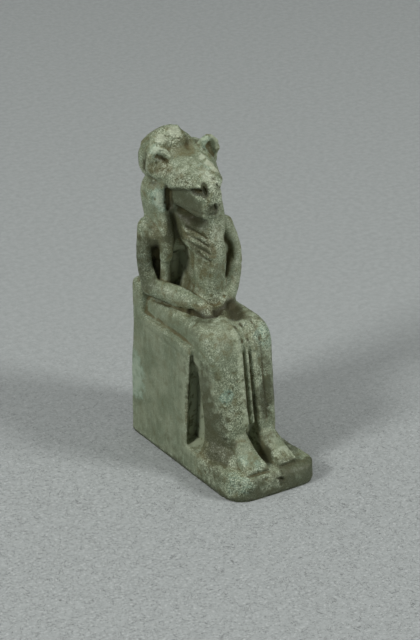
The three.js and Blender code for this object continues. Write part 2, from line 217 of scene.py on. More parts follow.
def thinned(mesh):
    """The same surface with fewer triangles where it is plain."""
    triangles = sum(len(face.vertices) - 2 for face in mesh.polygons)
    if triangles <= MOST_TRIANGLES:
        return mesh
    full = bpy.data.objects.new("full", mesh)
    bpy.context.collection.objects.link(full)
    decimate = full.modifiers.new("decimate", "DECIMATE")
    decimate.ratio = MOST_TRIANGLES / triangles
    graph = bpy.context.evaluated_depsgraph_get()
    graph.update()
    thin = bpy.data.meshes.new_from_object(full.evaluated_get(graph))
    bpy.data.objects.remove(full)
    return thin


# Relief

# A line is a groove where its height is below 0, and a ridge or a raised floor where it is above
Line = namedtuple("Line", "path half_width height y_scale", defaults=(1.0,))

# Y scales for lines on the front, which may lie a little off the surface and still mark it
ON_THE_BODY = 0.2
ON_THE_SHINS = 0.4


def mirrored(line):
    """The same line on her other side."""
    return line._replace(path=[(-x, y, z) for x, y, z in line.path])


def face_lines():
    """The eyes, the notch and pits of the bridge, the nostrils, the mouth and the edge of the mane."""
    right_side = [
        # Eye, gap before the mane, edge of the brow, mouth, and front edge of the mane
        Line([(-2.0, 3.45, 34.8), (-1.55, 2.9, 34.85)], 0.28, -0.75),
        Line([(-3.25, 7.1, 34.6), (-3.3, 7.0, 33.2), (-3.2, 6.9, 31.8)], 0.3, -0.65),
        Line([(-3.5, 6.4, 34.9), (-2.6, 4.4, 35.35), (-1.6, 2.7, 35.6)], 0.3, 0.14),
        Line([(-2.4, 4.8, 32.2), (-1.2, 2.12, 32.1), (0, 1.75, 32.0)], 0.14, -0.1),
        Line([(-4.1, 7.3, 34.4), (-4.2, 7.2, 31.6)], 0.35, 0.12),
    ]
    middle = [
        # Notch and two pits on the bridge
        Line([(-1.12, 2.45, 35.9), (-1.1, 2.2, 34.6)], 0.22, -0.9),
        Line([(0.55, 2.9, 36.2), (0.65, 2.85, 36.15)], 0.17, -0.35),
        Line([(0.7, 2.15, 35.6), (0.9, 2.05, 35.2)], 0.2, -0.35),
        # Nostrils, a deep one and a shallow one
        Line([(0.1, 1.75, 33.1), (0.25, 1.75, 32.6)], 0.2, -0.45),
        Line([(-0.5, 1.75, 32.9), (-0.55, 1.75, 32.65)], 0.14, -0.25),
        # Ridge and furrow along the left side of the forehead
        Line([(1.24, 7.0, 37.7), (1.43, 5.3, 37.1), (1.63, 3.8, 36.4)], 0.3, 0.22),
        Line([(0.5, 6.8, 37.5), (0.7, 5.2, 37.0), (0.9, 3.8, 36.4)], 0.25, -0.12),
    ]
    return right_side + [mirrored(line) for line in right_side] + middle


def crown_lines():
    """The worn groove and streaks of the crest, and the shallow cups and ragged rims of the ears."""
    return [
        # Groove behind the right ear
        Line([(-5.05, 9.4, 38.3), (-5.0, 9.6, 37.0), (-4.9, 9.7, 35.9)], 0.22, -0.25),
        # Streaks of the crest
        Line([(-4.15, 9.5, 39.8), (-4.5, 8.9, 38.9)], 0.3, 0.22),
        Line([(-3.1, 9.5, 40.4), (-2.9, 8.8, 39.5)], 0.25, 0.25),
        Line([(-3.6, 9.3, 40.2), (-3.8, 8.8, 39.4)], 0.25, -0.2),
        Line([(-2.2, 9.1, 40.6), (-1.6, 8.7, 39.6)], 0.3, -0.16),
        Line([(-1.7, 9.2, 40.9), (-0.7, 8.9, 39.9)], 0.35, 0.18),
        Line([(0.6, 9.2, 39.3), (0.4, 8.3, 38.3)], 0.35, -0.2),
        # Right ear: its cup, the crease below it and its rim
        Line([(-4.1, 8.3, 38.0), (-3.0, 7.9, 37.5)], 0.28, -0.36),
        Line([(-4.6, 8.0, 36.0), (-3.6, 7.7, 35.4), (-2.8, 7.5, 35.6)], 0.4, -0.08),
        Line([(-4.9, 8.6, 38.2), (-4.0, 8.2, 38.9), (-3.0, 7.9, 38.6), (-2.6, 7.7, 37.9)], 0.3, 0.24),
        # Left ear: its rim and its cup
        Line([(2.4, 8.2, 38.7), (3.4, 8.4, 39.2), (4.2, 8.4, 38.7), (4.6, 8.3, 37.4)], 0.4, 0.42),
        Line([(3.2, 8.3, 38.0), (3.9, 8.3, 36.4)], 0.35, -0.2),
    ]


COLLAR_DROPS = (0, 0.95, 1.9, 2.8)
COLLAR_RIDGE_RISE = 0.42


def collar_lines():
    """Four grooves that slant to the middle of the chest, with ridges above them on her right side."""
    lines = []
    for drop in COLLAR_DROPS:
        right_side = [(-1.9, 5.2, 29.6 - drop), (-0.8, 3.95, 28.9 - drop), (0.1, 3.4, 28.1 - drop)]
        left_side = [(0.6, 3.3, 27.9 - drop), (1.4, 3.5, 28.0 - drop), (2.4, 4.9, 28.7 - drop)]
        above = [(x, y, z + COLLAR_RIDGE_RISE) for x, y, z in right_side]
        lines += [
            Line(right_side, 0.17, -0.25, ON_THE_BODY),
            Line(above, 0.17, 0.14, ON_THE_BODY),
            Line(left_side, 0.15, -0.1, ON_THE_BODY),
        ]
    return lines


def fold_lines():
    """The folds of the dress: on the belly, between the knees and down the shins."""
    lines = []
    for x, lean, height in (
        (-1.1, 0.15, -0.15),
        (-0.5, 0.05, 0.1),
        (0.05, -0.1, -0.14),
        (1.1, -0.25, -0.1),
    ):
        lines.append(Line([(x, 3.4, 24.8), (x + lean, 3.4, 21.6)], 0.17, height, ON_THE_BODY))
    for x in (-0.35, 0.5):
        lines.append(Line([(x, -3.2, 19.2), (x, -4.7, 17.7)], 0.2, -0.35))
    for x, half_width, height in (
        (0.08, 0.2, 0.18),
        (-1.0, 0.35, 0.3),
        (1.1, 0.25, 0.18),
        (2.1, 0.22, -0.2),
        (3.1, 0.3, 0.12),
    ):
        down_the_shin = [(x, -3.2, 19.2), (x, -4.7, 17.9), (x, -5.5, 13.7), (x, -6.75, 7.6)]
        lines.append(Line(down_the_shin, half_width, height, ON_THE_SHINS))
    return lines


def seam_lines():
    """Where arms, fists, wig, jaw and throne meet, and the raised floors of the deep hollows."""
    return [
        # Below the right forearm, and the dip in the lap before the left fist
        Line([(-4.7, 8.4, 19.2), (-3.7, 3.9, 19.4), (-2.6, 0.9, 19.5)], 0.25, -0.18),
        Line([(2.3, 1.2, 19.6), (1.6, -0.4, 19.5), (0.9, -1.6, 19.4)], 0.7, -0.45),
        # Round the right fist, and round the left one
        Line([(-3.1, 2.4, 19.5), (-2.4, 0.3, 19.4), (-1.2, -0.1, 19.4), (-0.4, 0.6, 19.4)], 0.28, -0.4),
        Line([(-0.4, 0.6, 19.4), (0.6, 1.3, 19.4), (1.8, 1.3, 19.5)], 0.3, -0.4),
        # The hollow between the right arm and the wig, cut deeper, its groove colour painted shade
        Line([(-4.35, 8.2, 26.6), (-4.25, 8.4, 25.0), (-4.1, 8.6, 22.8)], 0.42, -0.7),
        # The back wall of the hollow between the wig and the body, and the body's edge beside it
        Line([(-2.0, 9.4, 26.2), (-2.0, 9.2, 21.5)], 1.0, 0.8),
        Line([(-0.8, 9.0, 25.6), (-0.8, 9.0, 21.8)], 1.1, 0.4),
        Line([(-1.25, 5.3, 26.4), (-0.85, 4.9, 23.0)], 0.25, 0.16),
        # The floors of the hollow between the ankles and of the recess beside the right shin
        Line([(0.05, -4.6, 6.6), (0.05, -5.4, 4.0)], 0.9, 0.55),
        Line([(-3.4, -0.8, 15.0), (-3.4, -0.8, 3.4)], 1.4, 0.5),
        # Below the jaw, its groove colour painted shade
        Line([(-2.4, 6.0, 31.0), (-1.2, 4.6, 30.7), (-0.3, 3.9, 30.6)], 0.5, -0.28),
        # Below the bevel of the seat, and between the bevel and the lap
        Line([(-5.95, 8.4, 15.9), (-5.95, -1.2, 15.5)], 0.15, -0.08),
        Line([(-4.9, 6.5, 17.4), (-4.9, 0.5, 17.2), (-4.6, -3.0, 16.4)], 0.4, -0.12),
    ]


FINGER_GAPS = (-1.75, -1.25, -0.75)
TOE_GAPS = (-2.85, -2.2, -1.55, -0.9, 1.75, 2.25, 2.8, 3.35)
FOOT_SIDES = ((-3.4, -0.4), (1.2, 3.9))


def hand_and_foot_lines():
    """The gaps of fingers and toes, the pits in the front of the base, and the edges of the feet."""
    lines = [Line([(x, 0.95, 20.1), (x, 0.8, 19.3)], 0.12, -0.2) for x in FINGER_GAPS]
    lines += [Line([(x, -9.9, 4.0), (x, -10.9, 3.5)], 0.12, -0.13) for x in TOE_GAPS]
    lines += [
        Line([(0.75, -12.0, 1.95), (0.95, -12.0, 1.75)], 0.2, -0.45),
        Line([(0.2, -11.9, 2.1), (0.35, -12.0, 2.05)], 0.14, -0.25),
        Line([(-1.6, -11.8, 2.5), (-0.9, -11.8, 2.45)], 0.2, -0.15),
    ]
    for right, left in FOOT_SIDES:
        lines.append(Line([(right, -11.05, 3.05), (left, -11.05, 3.0)], 0.2, -0.25))
        for x in (right + 0.1, left - 0.1):
            lines.append(Line([(x, -7.2, 6.0), (x, -9.2, 4.5), (x, -10.7, 3.6)], 0.28, 0.16))
    return lines


def relief(skin, lines, spread=1.0):
    """The height that the lines add at each vertex, with their widths multiplied by the spread."""
    total = np.zeros(len(skin.points))
    for line in lines:
        away = skin.distance_to(line.path, line.y_scale)
        total += line.height * np.exp(-(away / (line.half_width * spread)) ** 2)
    return total


# Patches of colour and roughness

Patch = namedtuple("Patch", "centre radius strength")

DARK = (
    # Ear, eye, bridge, muzzle and brow
    Patch((-4.9, 9.6, 37.2), 1.2, 0.5),
    Patch((-4.5, 8.6, 35.2), 0.8, 0.5),
    Patch((-1.75, 3.15, 34.85), 0.5, 1.0),
    Patch((-1.1, 2.2, 35.2), 0.45, 1.0),
    Patch((-0.7, 1.75, 32.5), 0.9, 0.7),
    Patch((0.0, 1.7, 32.8), 0.9, 0.6),
    Patch((-2.9, 5.0, 35.5), 1.2, 0.25),
    # Mane, wig and throat; beside the wig and below the jaw they are painted shade
    Patch((-5.2, 9.0, 33.4), 1.8, 0.45),
    Patch((-4.1, 6.2, 27.2), 1.7, 0.6),
    Patch((-2.9, 6.4, 28.6), 1.4, 1.2),
    Patch((-2.6, 6.6, 30.4), 1.3, 1.2),
    Patch((-1.6, 4.9, 30.6), 1.5, 1.2),
    Patch((-0.2, 3.8, 30.3), 1.2, 0.8),
    # Arms, collar and belly; on her right arm and the right of the chest they are painted shade as well as
    # staining
    Patch((-6.1, 8.8, 26.0), 2.4, 0.8),
    Patch((-6.0, 7.9, 23.0), 2.2, 0.8),
    Patch((5.6, 5.4, 24.6), 2.2, 0.2),
    Patch((-1.2, 4.0, 28.2), 1.8, 0.35),
    Patch((-1.0, 3.7, 26.4), 1.8, 0.4),
    # Lap, darker round the fists with staining and painted shade
    Patch((-3.0, -1.0, 19.5), 3.0, 0.35),
    Patch((2.4, -1.6, 19.4), 2.4, 0.4),
    Patch((1.0, 0.6, 19.6), 1.8, 0.7),
    Patch((-2.6, 0.2, 19.5), 1.6, 0.5),
    # Right shin, its back edge and the recess beside it: painted shade
    Patch((-5.0, -3.0, 14.0), 2.6, 0.6),
    Patch((-4.8, -3.0, 10.0), 3.0, 0.7),
    Patch((-4.6, -4.2, 7.0), 2.6, 0.8),
    Patch((-4.3, -2.2, 13.0), 1.4, 0.8),
    Patch((-4.3, -2.2, 10.0), 1.6, 0.9),
    Patch((-4.3, -2.4, 6.8), 1.7, 0.9),
    Patch((-3.4, -0.4, 12.5), 2.0, 0.8),
    Patch((-3.4, -0.6, 8.5), 2.0, 0.8),
    Patch((-3.4, -0.8, 5.5), 1.8, 0.8),
    # Left shin
    Patch((2.0, -6.4, 10.0), 2.6, 0.7),
    Patch((3.0, -5.8, 11.0), 2.0, 0.6),
    Patch((3.6, -4.6, 14.6), 2.4, 0.5),
    # Feet and the top of the base, with painted shade and staining beside the right foot and between the
    # ankles
    Patch((-4.0, -5.8, 4.6), 2.4, 1.0),
    Patch((4.8, -6.5, 3.0), 2.4, 0.7),
    Patch((0.6, -8.5, 3.0), 1.5, 0.9),
    Patch((0.9, -5.4, 4.3), 1.6, 1.2),
    Patch((1.7, -8.0, 5.0), 1.4, 0.35),
    # Front and side of the base
    Patch((-0.5, -12.0, 1.0), 4.0, 0.75),
    Patch((3.8, -12.0, 1.0), 3.2, 0.6),
    Patch((5.4, -12.0, 1.4), 2.4, 0.6),
    Patch((0.85, -12.0, 1.9), 0.45, 1.0),
    Patch((-4.2, -12.0, 0.2), 1.8, 0.8),
    Patch((-6.2, -7.0, 1.0), 3.4, 0.5),
    Patch((-6.2, 1.0, 1.2), 3.0, 0.3),
)

PALE = (
    # Crest and ear
    Patch((-1.0, 9.3, 40.5), 1.1, 1.0),
    Patch((-3.0, 9.1, 40.0), 0.7, 1.0),
    Patch((-4.0, 8.2, 38.9), 0.8, 0.9),
    Patch((-3.5, 8.0, 36.6), 1.0, 0.4),
    Patch((-4.5, 8.0, 36.0), 0.8, 0.3),
    # Brow, bridge and mane
    Patch((1.3, 6.4, 37.5), 0.6, 1.0),
    Patch((1.45, 5.2, 37.1), 0.65, 1.0),
    Patch((1.6, 4.1, 36.6), 0.6, 1.0),
    Patch((-1.2, 5.6, 37.2), 1.8, 0.3),
    Patch((0.3, 2.4, 34.9), 1.4, 0.4),
    Patch((0.1, 3.5, 36.5), 1.1, 0.7),
    Patch((-5.0, 8.6, 33.0), 1.9, 0.4),
    Patch((-4.2, 7.2, 33.0), 1.3, 0.6),
    # Painted light on the collar, in the hollow beside the wig and on the left arm
    Patch((1.6, 3.9, 28.4), 1.3, 0.65),
    Patch((-1.2, 8.6, 24.4), 2.6, 1.0),
    Patch((5.3, 5.5, 25.6), 1.8, 0.45),
    # Feet, base and throne
    Patch((-2.2, -9.6, 4.0), 1.4, 0.2),
    Patch((2.6, -9.2, 4.2), 1.3, 0.3),
    Patch((-0.5, -11.2, 3.0), 2.0, 0.3),
    Patch((-4.4, -11.0, 2.0), 1.4, 0.5),
    Patch((-6.0, 11.6, 8.0), 3.0, 0.7),
)

SPECKLED = (
    # Brow, bridge, crest, ear and mane
    Patch((-2.8, 4.8, 35.4), 1.7, 0.9),
    Patch((0.4, 3.4, 36.2), 1.6, 0.5),
    Patch((-0.1, 2.0, 34.0), 1.7, 1.0),
    Patch((-1.8, 9.3, 40.0), 2.0, 0.9),
    Patch((-3.5, 8.0, 36.8), 1.4, 0.6),
    Patch((-4.2, 7.3, 33.0), 1.3, 0.8),
    # Shins
    Patch((1.5, -6.0, 13.5), 1.5, 1.0),
    Patch((1.7, -6.6, 10.0), 1.6, 1.0),
    Patch((-2.6, -6.2, 12.5), 2.8, 0.6),
    Patch((-3.0, -6.6, 8.5), 2.2, 0.6),
    # Chest and right arm
    Patch((1.6, 3.8, 28.0), 1.8, 0.9),
    Patch((-6.0, 8.6, 24.5), 2.0, 0.7),
    # Feet and base
    Patch((-3.2, -9.8, 3.4), 1.4, 0.4),
    Patch((2.0, -9.8, 3.8), 1.2, 0.6),
    Patch((-4.6, -10.8, 2.4), 2.2, 0.8),
    Patch((-5.0, -6.5, 3.2), 2.6, 0.6),
    Patch((-3.8, -5.6, 4.4), 2.2, 0.6),
    Patch((0.5, -11.8, 2.4), 2.6, 0.6),
    # Fists and left knee
    Patch((0.0, 1.0, 20.0), 2.6, 0.8),
    Patch((2.4, -4.6, 18.4), 2.2, 0.7),
)

SMOOTH = (
    # Mane, top of the head and crest
    Patch((-5.1, 8.8, 32.8), 1.9, 0.8),
    Patch((0.0, 8.2, 38.2), 1.6, 0.6),
    Patch((-0.8, 9.5, 39.0), 1.2, 0.4),
    # Left arm, wig and throat
    Patch((5.6, 5.2, 24.6), 2.2, 0.5),
    Patch((-4.0, 6.2, 27.5), 1.6, 0.6),
    Patch((-1.6, 4.9, 30.8), 1.6, 0.9),
    Patch((-2.7, 6.6, 30.4), 1.4, 0.9),
    # Shins, feet and front of the base
    Patch((3.9, -5.6, 12.0), 1.8, 0.9),
    Patch((-5.0, -3.0, 12.0), 3.2, 0.6),
    Patch((-1.9, -9.4, 4.2), 1.2, 0.7),
    Patch((2.8, -8.8, 4.4), 1.2, 0.7),
    Patch((2.5, -12.0, 1.0), 3.5, 0.3),
)

TURQUOISE = (
    # Mane, both ears and brow
    Patch((-4.2, 7.2, 33.0), 1.5, 1.1),
    Patch((-4.2, 8.3, 38.8), 0.9, 0.9),
    Patch((2.7, 8.0, 38.7), 1.0, 1.0),
    Patch((0.4, 4.4, 36.6), 1.4, 0.3),
    # Right arm, left knee, right shin and foot
    Patch((-6.1, 8.4, 25.0), 1.6, 0.6),
    Patch((2.9, -5.0, 18.0), 1.8, 0.7),
    Patch((-3.3, -6.0, 11.6), 1.1, 0.9),
    Patch((-2.4, -9.4, 4.2), 1.5, 0.4),
    # Near corner of the base and back edge of the throne
    Patch((-4.6, -10.8, 2.4), 2.0, 0.5),
    Patch((-6.0, 11.8, 8.0), 3.4, 1.0),
)

BROWN = (
    # Cup of the right ear, top of the head and below the ear
    Patch((-3.5, 8.0, 36.8), 1.4, 0.7),
    Patch((-0.2, 8.4, 38.3), 2.0, 1.0),
    Patch((-2.6, 7.4, 35.9), 1.3, 0.3),
    # Wig, right arm, belly, collar and throat; below the jaw they are also painted shade
    Patch((-4.0, 6.4, 27.8), 2.2, 0.8),
    Patch((-5.2, 8.8, 27.0), 2.0, 0.5),
    Patch((-0.5, 4.0, 25.5), 2.6, 0.7),
    Patch((-1.0, 4.0, 28.0), 2.0, 0.6),
    Patch((-2.4, 5.5, 29.5), 2.0, 0.8),
    Patch((-1.4, 4.6, 30.8), 1.4, 1.0),
    # Lap and fists
    Patch((0.5, 0.4, 19.6), 2.2, 0.9),
    Patch((-3.0, 2.5, 19.6), 1.8, 0.5),
    Patch((-0.8, 1.2, 20.3), 1.6, 0.6),
    # Beside the right foot, the right shin and between the feet; in the recess beside the shin they are also
    # painted shade
    Patch((-4.2, -5.5, 3.6), 2.6, 1.0),
    Patch((-4.0, -4.6, 5.2), 2.0, 0.7),
    Patch((-4.3, -2.2, 9.0), 2.6, 0.9),
    Patch((-5.0, -2.6, 7.0), 2.6, 0.6),
    Patch((0.7, -8.0, 3.0), 1.8, 0.7),
)

PATCH_EDGE_WAVE = 0.4
PATCH_EDGE_WAVE_SIZE = 1.6
PATCH_EDGE_SEED = 133
# In parts of the radius: where a patch begins to fade in, and where it is at full strength
PATCH_START = 1.3
PATCH_FULL = 0.5


def patches(skin, group):
    """The strength of a group of patches at each vertex. Their edges are ragged."""
    total = np.zeros(len(skin.points))
    ragged = 1 + PATCH_EDGE_WAVE * cloud(skin.points, PATCH_EDGE_WAVE_SIZE, PATCH_EDGE_SEED)
    for patch in group:
        away = np.linalg.norm(skin.points - np.array(patch.centre), axis=1) * ragged / patch.radius
        total += patch.strength * step(PATCH_START, PATCH_FULL, away)
    return total


# Measures of the surface

# Each pair is where an area begins and where it is complete: first by place, then by the surface's direction
CHEEK_FRONT = (2.1, 2.8)
CHEEK_BACK = (7.6, 7.0)
CHEEK_BOTTOM = (30.2, 30.8)
CHEEK_TOP = (35.1, 34.7)
CHEEK_OUTER_SIDE = (3.7, 3.4)
THRONE_TOP = (21.0, 18.5)
THRONE_FRONT = (-3.5, -2.0)
CHEEK_FACES_OUT = (0.45, 0.75)
CHEEK_NOT_FACING_UP = (0.3, 0.0)
JAW_FACES_DOWN = (-0.2, -0.5)
THRONE_FACES_OUT = (0.75, 0.95)

# Rounds of smoothing: those that find small and broad hollows, then those that blur the edge of an area
FINE_ROUNDS = 20
BROAD_ROUNDS = 140
CHEEK_NORMAL_ROUNDS = 4
CHEEK_BLUR_ROUNDS = 3
THRONE_BLUR_ROUNDS = 8
SHELTER_BLUR_ROUNDS = 3

SHELTER_RAYS = 14
SHELTER_REACH = 6.0
RAY_START = 0.08


def cheeks(skin):
    """1 on the flat cheeks below the brow and on the underside of the jaw, 0 elsewhere. It marks them for
    painted shade and a smoother skin.
    """
    x, y, z = skin.points.T
    normals = skin.smoothed(skin.normals(), CHEEK_NORMAL_ROUNDS)
    sideways = step(*CHEEK_FACES_OUT, np.abs(normals[:, 0])) * step(*CHEEK_NOT_FACING_UP, normals[:, 2])
    under = step(*JAW_FACES_DOWN, normals[:, 2])
    here = step(*CHEEK_FRONT, y) * step(*CHEEK_BACK, y) * step(*CHEEK_BOTTOM, z) * step(*CHEEK_TOP, z)
    here *= step(*CHEEK_OUTER_SIDE, np.abs(x))
    return skin.smoothed((np.maximum(sideways, under) * here)[:, None], CHEEK_BLUR_ROUNDS)[:, 0]


def side_face(skin):
    """1 on the smooth sides and back of the throne, 0 elsewhere."""
    normals = skin.normals()
    flat = step(*THRONE_FACES_OUT, np.abs(normals[:, 0])) + step(*THRONE_FACES_OUT, normals[:, 1])
    low = step(*THRONE_TOP, skin.points[:, 2]) * step(*THRONE_FRONT, skin.points[:, 1])
    return skin.smoothed((np.minimum(flat, 1) * low)[:, None], THRONE_BLUR_ROUNDS)[:, 0]


def hollowness(skin, rounds):
    """How far the smoothed surface lies outside the real one: above 0 in hollows, below 0 on ridges."""
    normals = skin.normals()
    return ((skin.smoothed(skin.points, rounds) - skin.points) * normals).sum(axis=1)


def directions_over_half_a_sphere(count):
    """Directions around +Z, close together where they count most for light: near the axis."""
    golden = math.pi * (3 - math.sqrt(5))
    directions = []
    for i in range(count):
        r = math.sqrt((i + 0.5) / count)
        directions.append((r * math.cos(i * golden), r * math.sin(i * golden), math.sqrt(1 - r * r)))
    return directions


def shelter(skin):
    """The share of the view that the figure itself blocks within a reach, from 0 to 1."""
    faces = [tuple(face.vertices) for face in skin.mesh.polygons]
    tree = BVHTree.FromPolygons(skin.points.tolist(), faces)
    directions = directions_over_half_a_sphere(SHELTER_RAYS)
    blocked = np.zeros(len(skin.points))
    for i, (point, normal) in enumerate(zip(skin.points, skin.normals())):
        n = Vector(normal)
        side = n.orthogonal().normalized()
        other = n.cross(side)
        start = Vector(point) + n * RAY_START
        hits = 0
        for x, y, z in directions:
            if tree.ray_cast(start, side * x + other * y + n * z, SHELTER_REACH)[0] is not None:
                hits += 1
        blocked[i] = hits / SHELTER_RAYS
    return skin.smoothed(blocked[:, None], SHELTER_BLUR_ROUNDS)[:, 0]


# Wear

SOFTEN_ROUNDS = 12
HOLLOW_SHARE = 0.8
# What lies lower than this stays on the ground
GROUND = 0.02

# Paths that are worn rounder than they were cut, with the rounds of smoothing for each
WORN_PATHS = (
    ([(0.08, -4.7, 17.7), (0.08, -5.5, 13.7), (0.08, -6.75, 7.6)], 14),
    ([(-4.9, -2.7, 16.0), (-4.9, -2.7, 4.6)], 30),
)
WORN_PATH_REACH = (1.5, 0.8)

CREST_WEAR = 0.35
CREST_FROM = 39.0
CREST_TOP = 41.0

UNDER_EDGE_HEIGHT = 0.5
UNDER_EDGE_DEPTH = 0.25
NOT_THE_UNDERSIDE = (-0.95, -0.6)

# The crest and the ears are more ragged than the rest
CREST_ABOVE = (37.0, 38.5)
CREST_BEHIND = (8.0, 9.2)
RIGHT_EAR = (-3.7, 8.2, 37.2)
LEFT_EAR = (3.2, 8.3, 37.2)
EAR_REACH = (2.6, 1.8)

Bumps = namedtuple("Bumps", "height size seed")
SWELLING = Bumps(0.08, 3.2, 5)
LUMPS = Bumps(0.04, 1.2, 9)
RAGGED_LUMPS_HEIGHT = 0.12
RIDGES = Bumps(0.14, 1.1, 57)
RIDGE_LEVEL = 0.35
GRAIN = Bumps(0.025, 0.5, 21)
SPECKLED_GRAIN_HEIGHT = 0.035

# Chips and pits begin where their random field passes the start, and are at full depth from the end on
Marks = namedtuple("Marks", "height size seed start end")
CHIPS = Marks(-0.25, 0.9, 43, 0.2, 0.55)
SMALL_PITS = Marks(-0.14, 0.6, 77, 0.6, 0.88)
SMALL_PITS_OUTSIDE_SPECKLE = 0.5
PITS = Marks(-0.2, 1.2, 91, 0.76, 0.95)
SHARP_EDGE = (0.02, 0.1)
GRAIN_LOSS_ON_SMOOTH_FACES = 0.85
SKIN_ABOVE_GROUND = (0.0, 0.5)


def soften(skin):
    """Rounds off the creases as a worn mould and long wear do, hollows less than edges."""
    before = skin.points.copy()
    normals = skin.normals()
    after = skin.smoothed(before, SOFTEN_ROUNDS)
    moved = ((after - before) * normals).sum(axis=1)
    keep = np.where(moved > 0, HOLLOW_SHARE, 1.0)[:, None]
    skin.points = before + (after - before) * keep
    on_ground = before[:, 2] < GROUND
    skin.points[on_ground, 2] = before[on_ground, 2]


def wear_edges(skin):
    """Wears the folds between the legs and the back edge of the right shin rounder than they were cut."""
    for path, rounds in WORN_PATHS:
        share = step(*WORN_PATH_REACH, skin.distance_to(path))[:, None]
        skin.points += share * (skin.smoothed(skin.points, rounds) - skin.points)


def raggedness(points):
    """1 on the crest and the ears, 0 elsewhere."""
    crest = step(*CREST_ABOVE, points[:, 2]) * step(*CREST_BEHIND, points[:, 1])
    ears = np.minimum(*(np.linalg.norm(points - ear, axis=1) for ear in (RIGHT_EAR, LEFT_EAR)))
    return np.maximum(crest, step(*EAR_REACH, ears))


def weather(skin):
    """Uneven swelling, a grainy skin, chipped edges and scattered pits."""
    p = skin.points
    high = step(*SHARP_EDGE, -hollowness(skin, FINE_ROUNDS))
    ragged = raggedness(p)
    speckled = np.clip(patches(skin, SPECKLED), 0, 1)
    lump_height = LUMPS.height + RAGGED_LUMPS_HEIGHT * ragged
    swell = SWELLING.height * cloud(p, SWELLING.size, SWELLING.seed)
    swell += lump_height * cloud(p, LUMPS.size, LUMPS.seed)
    ridges = RIDGES.height * ragged * (RIDGE_LEVEL - np.abs(cloud(p, RIDGES.size, RIDGES.seed)))
    grain = (GRAIN.height + SPECKLED_GRAIN_HEIGHT * speckled) * cloud(p, GRAIN.size, GRAIN.seed, 2)
    chips = CHIPS.height * high * step(CHIPS.start, CHIPS.end, cloud(p, CHIPS.size, CHIPS.seed))
    small_pits, large_pits = (
        marks.height * step(marks.start, marks.end, lattice_noise(p, marks.size, marks.seed))
        for marks in (SMALL_PITS, PITS)
    )
    pits = small_pits * (SMALL_PITS_OUTSIDE_SPECKLE + speckled) + large_pits
    open_skin = 1 - GRAIN_LOSS_ON_SMOOTH_FACES * np.maximum(side_face(skin), cheeks(skin))
    above_ground = step(*SKIN_ABOVE_GROUND, p[:, 2])
    skin.push((swell + ridges + (grain + pits) * open_skin + chips) * above_ground)


def lower_crest(skin):
    """Wears the top of the crest down a little."""
    skin.points[:, 2] -= CREST_WEAR * step(CREST_FROM, CREST_TOP, skin.points[:, 2])


def round_under_edge(skin):
    """Draws the lowest edge of the base in, as it is worn."""
    normals = skin.normals()
    level = normals[:, :2] / np.maximum(np.linalg.norm(normals[:, :2], axis=1), 1e-6)[:, None]
    side = step(*NOT_THE_UNDERSIDE, normals[:, 2])
    low = np.clip(1 - skin.points[:, 2] / UNDER_EDGE_HEIGHT, 0, 1) ** 2
    skin.points[:, :2] -= level * (UNDER_EDGE_DEPTH * low * side)[:, None]


def keep_inside(skin):
    """Holds the skin within the CAD box and flat on the ground."""
    low, high = (np.array(corner) / MM for corner in cad_box)
    skin.points = np.clip(skin.points, low, high)


# The figure

# How much wider than its relief a line is coloured, and the height or depth that takes the full colour
LINE_COLOUR_SPREAD = 1.6
FULL_LINE_HEIGHT = 0.4
THRONE_GRAIN_LOSS = 0.75
# Painted shade: the foot of the base darkens between these heights, as shadow where it meets the ground
SHADED_BASE_FOOT = (0.9, 0.1)


def surface_fields(skin, lines):
    """What the material reads at each vertex, by name."""
    cheek = cheeks(skin)
    height = relief(skin, lines, LINE_COLOUR_SPREAD) / FULL_LINE_HEIGHT
    # Painted shade: the cheeks below the brow, the underside of the jaw and the foot of the base darken here
    dark = patches(skin, DARK) + cheek + step(*SHADED_BASE_FOOT, skin.points[:, 2])
    return {
        "hollow": hollowness(skin, FINE_ROUNDS),
        "broad_hollow": hollowness(skin, BROAD_ROUNDS),
        "shelter": shelter(skin),
        "grainy": 1 - THRONE_GRAIN_LOSS * side_face(skin),
        "groove": np.clip(-height, 0, 1),
        "ridge": np.clip(height, 0, 1),
        # Stains, with painted shade among the dark ones and painted light among the pale ones
        "stain_light_and_shade": dark - patches(skin, PALE),
        "speckle": patches(skin, SPECKLED) - patches(skin, SMOOTH) - cheek,
        "tint": patches(skin, TURQUOISE) * (1 - cheek) - patches(skin, BROWN),
    }


def sculpt():
    """The figure: a skin made from the CAD node, worn, carved, weathered and thinned."""
    skin = Skin(remeshed(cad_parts[NODE]))
    soften(skin)
    wear_edges(skin)
    lines = face_lines() + crown_lines() + collar_lines() + fold_lines() + seam_lines()
    lines += hand_and_foot_lines()
    skin.push(relief(skin, lines))
    weather(skin)
    lower_crest(skin)
    round_under_edge(skin)
    keep_inside(skin)
    skin.store()
    skin = Skin(thinned(skin.mesh))
    for name, values in surface_fields(skin, lines).items():
        attribute = skin.mesh.attributes.new(name, "FLOAT", "POINT")
        attribute.data.foreach_set("value", values.astype(np.float32))
    skin.mesh.shade_smooth()
    piece = bpy.data.objects.new("faience_figure", skin.mesh)
    bpy.context.collection.objects.link(piece)
    return piece


# Materials

